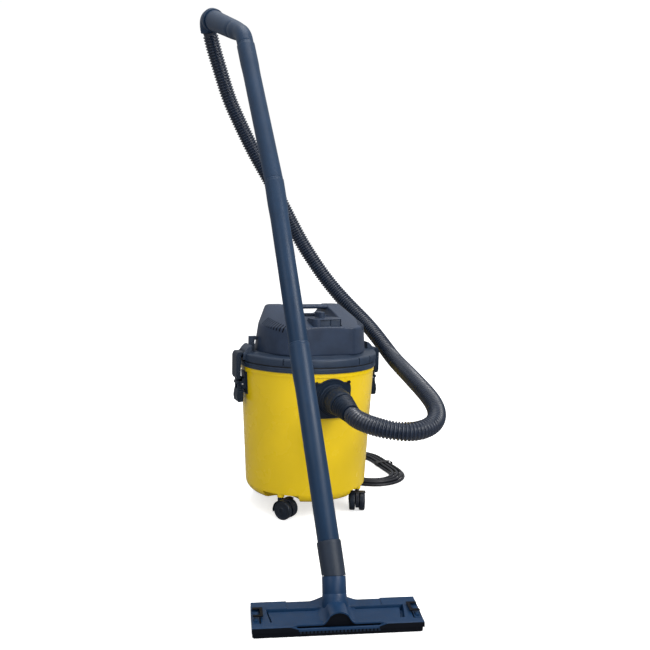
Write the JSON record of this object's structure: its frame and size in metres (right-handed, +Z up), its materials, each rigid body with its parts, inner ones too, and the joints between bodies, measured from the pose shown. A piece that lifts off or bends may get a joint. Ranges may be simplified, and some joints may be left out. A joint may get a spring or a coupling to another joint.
{
  "type": "canister vacuum cleaner",
  "caption": "Upright round canister vacuum on swivel casters with a lift-off motor head, side latches, corrugated hose, long wand and flat floor nozzle.",
  "frame": {"origin": "on the floor, under the middle of the box around the machine, wand and nozzle, cords left out", "axes": "+Z up, -Y to the front of the tank, where the hose inlet is, and +X to the machine's left-to-right as seen from the front"},
  "size_m": [0.6518, 1.0322, 1.2059],
  "materials": {
    "tank_shell": "smooth moulded yellow plastic, semi-gloss",
    "dark_trim": "dark navy-black moulded plastic",
    "head_shell": "dark slate-blue moulded plastic, semi-gloss",
    "wand_plastic": "slate-blue moulded plastic",
    "nozzle_shell": "slate-blue moulded plastic",
    "hose_plastic": "dark corrugated flexible plastic",
    "cord_rubber": "black flexible cord sheath",
    "black_rubber": "black rubber",
    "black_plastic": "black moulded plastic",
    "wheel_plastic": "black hard plastic",
    "steel": "plain zinc-plated steel",
    "motor_steel": "pressed motor steel",
    "winding": "lacquered copper and laminated core",
    "fan_metal": "stamped aluminium",
    "filter_foam": "open-cell foam sleeve",
    "float_plastic": "white moulded plastic",
    "bristle": "black brush and squeegee strip"
  },
  "bodies": {
    "machine": {"tank": "tank_shell", "rim_band": "dark_trim", "inlet_flange": "dark_trim", "inlet_screws": "steel", "inlet_seal": "black_rubber", "inlet_deflector": "dark_trim", "latch_brackets": "dark_trim", "latch_pins": "steel", "hose_connector": "dark_trim", "hose": "hose_plastic", "cord_run": "cord_rubber", "cord_coil": "cord_rubber", "cord_tail": "cord_rubber", "plug": "black_plastic"},
    "head": {"head_base": "head_shell", "head_seal": "black_rubber", "head_cover": "head_shell", "carry_handle": "head_shell", "cover_screws": "steel", "switch_pod": "head_shell", "switch_body": "black_plastic", "motor_stator": "winding", "motor_bracket_lower": "motor_steel", "motor_bracket_upper": "motor_steel", "motor_bearings": "steel", "motor_brushes": "black_plastic", "motor_mount": "black_rubber", "fan_shroud": "motor_steel", "filter_cage": "black_plastic", "filter_sleeve": "filter_foam", "blower_port": "head_shell", "cord_gland": "black_rubber"},
    "rotor": {"motor_rotor": "motor_steel", "impeller": "fan_metal"},
    "float": {"float_valve": "float_plastic"},
    "rocker": {"switch_rocker": "black_plastic"},
    "lever_left": {"latch_lever_left": "dark_trim"},
    "hook_left": {"latch_hook_left": "dark_trim"},
    "lever_right": {"latch_lever_right": "dark_trim"},
    "hook_right": {"latch_hook_right": "dark_trim"},
    "caster_front_left": {"caster_front_left": "black_plastic"},
    "wheels_front_left": {"wheels_front_left": "wheel_plastic"},
    "caster_front_right": {"caster_front_right": "black_plastic"},
    "wheels_front_right": {"wheels_front_right": "wheel_plastic"},
    "caster_rear_left": {"caster_rear_left": "black_plastic"},
    "wheels_rear_left": {"wheels_rear_left": "wheel_plastic"},
    "caster_rear_right": {"caster_rear_right": "black_plastic"},
    "wheels_rear_right": {"wheels_rear_right": "wheel_plastic"},
    "wand": {"wand_handle": "wand_plastic", "hose_cuff": "dark_trim", "wand_tube_upper": "wand_plastic", "wand_tube_middle": "wand_plastic", "wand_tube_lower": "wand_plastic", "wand_sleeve": "dark_trim"},
    "nozzle": {"nozzle_neck": "nozzle_shell", "nozzle_cover": "nozzle_shell", "nozzle_sole": "dark_trim", "nozzle_clips": "dark_trim", "nozzle_strips": "bristle"}
  },
  "joints": [
    {"name": "head_lift", "type": "slide", "parent": "machine", "child": "head", "axis": [0, 0, 1], "range_m": [0, 0.25], "deforming": ["cord_run"]},
    {"name": "rotor_spin", "type": "hinge", "parent": "head", "child": "rotor", "pos_m": [0.0664, 0.1806, 0.4], "axis": [0, 0, 1], "continuous": true},
    {"name": "float_rise", "type": "slide", "parent": "head", "child": "float", "axis": [0, 0, 1], "range_m": [0, 0.025]},
    {"name": "rocker_press", "type": "hinge", "parent": "head", "child": "rocker", "pos_m": [0.0744, 0.0676, 0.449], "axis": [0, 0, 1], "range_deg": [0, 12]},
    {"name": "latch_lever_left", "type": "hinge", "parent": "machine", "child": "lever_left", "pos_m": [-0.1016, 0.1806, 0.3], "axis": [0, 1, 0], "range_deg": [0, 90]},
    {"name": "latch_hook_left", "type": "hinge", "parent": "lever_left", "child": "hook_left", "pos_m": [-0.1096, 0.1806, 0.302], "axis": [0, 1, 0], "range_deg": [-135, 0]},
    {"name": "latch_lever_right", "type": "hinge", "parent": "machine", "child": "lever_right", "pos_m": [0.2344, 0.1806, 0.3], "axis": [0, -1, 0], "range_deg": [0, 90]},
    {"name": "latch_hook_right", "type": "hinge", "parent": "lever_right", "child": "hook_right", "pos_m": [0.2424, 0.1806, 0.302], "axis": [0, -1, 0], "range_deg": [-135, 0]},
    {"name": "swivel_front_left", "type": "hinge", "parent": "machine", "child": "caster_front_left", "pos_m": [-0.0301, 0.0841, 0.05], "axis": [0, 0, 1], "continuous": true},
    {"name": "axle_front_left", "type": "hinge", "parent": "caster_front_left", "child": "wheels_front_left", "pos_m": [-0.02139, 0.07189, 0.022], "axis": [0.8141, 0.5807, 0], "continuous": true},
    {"name": "swivel_front_right", "type": "hinge", "parent": "machine", "child": "caster_front_right", "pos_m": [0.1629, 0.0841, 0.05], "axis": [0, 0, 1], "continuous": true},
    {"name": "axle_front_right", "type": "hinge", "parent": "caster_front_right", "child": "wheels_front_right", "pos_m": [0.15716, 0.07024, 0.022], "axis": [0.9239, -0.3827, 0], "continuous": true},
    {"name": "swivel_rear_left", "type": "hinge", "parent": "machine", "child": "caster_rear_left", "pos_m": [-0.0301, 0.2771, 0.05], "axis": [0, 0, 1], "continuous": true},
    {"name": "axle_rear_left", "type": "hinge", "parent": "caster_rear_left", "child": "wheels_rear_left", "pos_m": [-0.016, 0.27197, 0.022], "axis": [0.342, 0.9397, 0], "continuous": true},
    {"name": "swivel_rear_right", "type": "hinge", "parent": "machine", "child": "caster_rear_right", "pos_m": [0.1629, 0.2771, 0.05], "axis": [0, 0, 1], "continuous": true},
    {"name": "axle_rear_right", "type": "hinge", "parent": "caster_rear_right", "child": "wheels_rear_right", "pos_m": [0.17519, 0.2857, 0.022], "axis": [-0.5736, 0.8192, 0], "continuous": true},
    {"name": "wand_lift", "type": "slide", "parent": "machine", "child": "wand", "axis": [0, 0, 1], "range_m": [0, 0.15], "deforming": ["hose"]},
    {"name": "nozzle_swivel", "type": "hinge", "parent": "wand", "child": "nozzle", "pos_m": [-0.09532, -0.38056, 0.06643], "axis": [0.1053, 0.3929, 0.9135], "range_deg": [-30, 30]}
  ],
  "couplings": [
    {"joint": "latch_hook_left", "follows": "latch_lever_left", "ratio": -1.5},
    {"joint": "latch_hook_right", "follows": "latch_lever_right", "ratio": -1.5}
  ]
}
